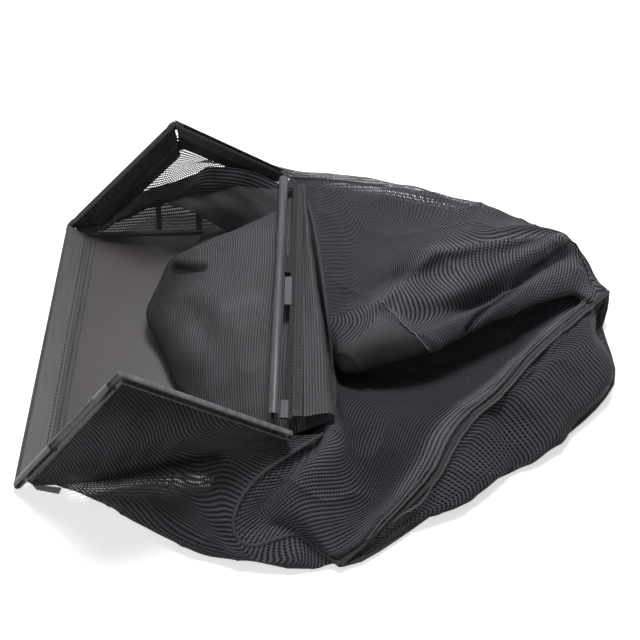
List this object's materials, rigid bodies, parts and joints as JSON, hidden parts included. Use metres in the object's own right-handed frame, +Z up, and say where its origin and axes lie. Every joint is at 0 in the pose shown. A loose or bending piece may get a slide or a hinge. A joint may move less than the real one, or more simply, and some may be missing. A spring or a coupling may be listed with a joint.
{
  "type": "mower grass collection bag",
  "caption": "Fabric grass collection bag for a walk-behind mower, off its wire frame and slumped flat, with plastic channels round an open mouth.",
  "frame": {"origin": "middle of the bag's footprint, on the ground it lies on", "axes": "+Z up; +X from the mouth's front lip to the rear seam; +Y from the near side to the far side; the mouth opens towards -X and up"},
  "size_m": [0.6782, 0.558, 0.1835],
  "materials": {
    "mesh": "open knitted polyester mesh",
    "ribbed": "solid fine-ribbed polyester cloth",
    "vinyl": "smooth calendered vinyl sheet, satin",
    "channel": "extruded plastic, satin",
    "tape": "woven edge tape and piping"
  },
  "bodies": {
    "root": {"front_lip_channel": "channel", "front_lip_tape": "tape", "near_front_channel": "channel", "near_front_tape": "tape", "near_top_channel": "channel", "near_top_tape": "tape", "far_front_channel": "channel", "far_front_tape": "tape", "far_top_channel": "channel", "far_top_tape": "tape", "rear_channel": "channel", "rear_tape": "tape", "near_seam_piping": "tape", "rear_seam_piping": "tape", "far_seam_piping": "tape", "foot_seam_piping": "tape", "front_seam_piping": "tape", "near_base_piping": "tape", "rear_base_piping": "tape", "far_base_piping": "tape", "floor_panel": "vinyl", "near_side_panel": "mesh", "far_side_panel": "mesh", "rear_panel": "mesh", "top_mesh_panel": "mesh", "top_ribbed_panel": "ribbed"}
  },
  "joints": []
}
